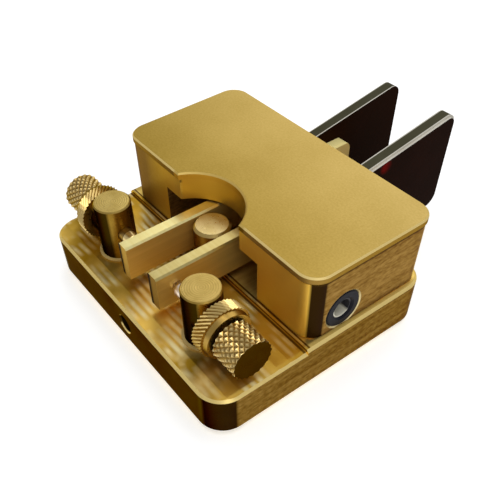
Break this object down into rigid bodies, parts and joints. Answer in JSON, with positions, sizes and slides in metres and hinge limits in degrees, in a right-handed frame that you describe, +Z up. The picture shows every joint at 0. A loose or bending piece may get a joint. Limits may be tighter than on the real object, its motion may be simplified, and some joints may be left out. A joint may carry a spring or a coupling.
{
  "type": "paddle telegraph key",
  "caption": "Brass paddle telegraph key: two side-swinging levers with dark finger paddles, knurled contact screws, a covered pivot block and a base plate with a jack.",
  "frame": {"origin": "middle of the outline, on the ground under the rubber feet", "axes": "+Z up, +Y from the contact posts towards the finger paddles, +X across the key towards the jack"},
  "size_m": [0.059, 0.0766, 0.0249],
  "materials": {
    "brass_plate": "milled and brushed brass",
    "brass_block": "brushed brass",
    "brass_cover": "bead-blasted satin brass",
    "brass_turned": "turned and polished brass",
    "paddle_sheet": "very dark red translucent acrylic, polished",
    "steel": "plain",
    "silver": "bright silver",
    "magnet": "nickel plated",
    "black_metal": "black oxide",
    "black_plastic": "moulded",
    "collar_plastic": "natural",
    "wire_cover": "insulated wire",
    "rubber": "matte"
  },
  "bodies": {
    "frame": {"base_plate": "brass_plate", "pivot_block": "brass_block", "cover_plate": "brass_cover", "cover_screws": "steel", "block_screws": "steel", "pivot_bearings": "steel", "contact_post_left": "brass_turned", "contact_post_right": "brass_turned", "post_collars": "collar_plastic", "post_screws": "steel", "centre_stop": "brass_turned", "front_grub_screw": "steel", "jack_body": "black_plastic", "jack_nut": "black_metal", "jack_sleeve": "silver", "jack_springs": "silver", "solder_tags": "silver", "signal_wires": "wire_cover", "rubber_feet": "rubber"},
    "left_lever": {"lever_left": "brass_turned", "pivot_pin_left": "steel", "finger_paddle_left": "paddle_sheet", "paddle_screws_left": "steel", "lever_contact_left": "silver", "lever_magnet_left": "magnet"},
    "left_tip": {"contact_tip_left": "silver"},
    "left_screw": {"contact_screw_left": "brass_turned"},
    "left_ring": {"lock_ring_left": "brass_turned"},
    "right_lever": {"lever_right": "brass_turned", "pivot_pin_right": "steel", "finger_paddle_right": "paddle_sheet", "paddle_screws_right": "steel", "lever_contact_right": "silver", "lever_magnet_right": "magnet"},
    "right_tip": {"contact_tip_right": "silver"},
    "right_screw": {"contact_screw_right": "brass_turned"},
    "right_ring": {"lock_ring_right": "brass_turned"}
  },
  "joints": [
    {"name": "left_lever_swing", "type": "hinge", "parent": "frame", "child": "left_lever", "pos_m": [-0.00504, -0.004, 0.0154], "axis": [0, 0, -1], "range_deg": [0, 1.05], "stiffness_Nm_per_rad": 0.02, "springref_deg": -2.86},
    {"name": "left_screw_travel", "type": "slide", "parent": "frame", "child": "left_tip", "axis": [-1, 0, 0], "range_m": [0, 0.001]},
    {"name": "left_screw_turn", "type": "hinge", "parent": "left_tip", "child": "left_screw", "pos_m": [-0.02, -0.0297, 0.01566], "axis": [-1, 0, 0], "range_deg": [0, 720]},
    {"name": "left_ring_turn", "type": "hinge", "parent": "frame", "child": "left_ring", "pos_m": [-0.02, -0.0297, 0.01566], "axis": [-1, 0, 0], "range_deg": [0, 30]},
    {"name": "right_lever_swing", "type": "hinge", "parent": "frame", "child": "right_lever", "pos_m": [0.00504, -0.004, 0.0154], "axis": [0, 0, 1], "range_deg": [0, 1.05], "stiffness_Nm_per_rad": 0.02, "springref_deg": -2.86},
    {"name": "right_screw_travel", "type": "slide", "parent": "frame", "child": "right_tip", "axis": [1, 0, 0], "range_m": [0, 0.001]},
    {"name": "right_screw_turn", "type": "hinge", "parent": "right_tip", "child": "right_screw", "pos_m": [0.02, -0.0297, 0.01566], "axis": [1, 0, 0], "range_deg": [0, 720]},
    {"name": "right_ring_turn", "type": "hinge", "parent": "frame", "child": "right_ring", "pos_m": [0.02, -0.0297, 0.01566], "axis": [1, 0, 0], "range_deg": [0, 30]}
  ],
  "couplings": [
    {"joint": "left_screw_turn", "follows": "left_screw_travel", "rad_per_m": 12566},
    {"joint": "right_screw_turn", "follows": "right_screw_travel", "rad_per_m": 12566}
  ]
}
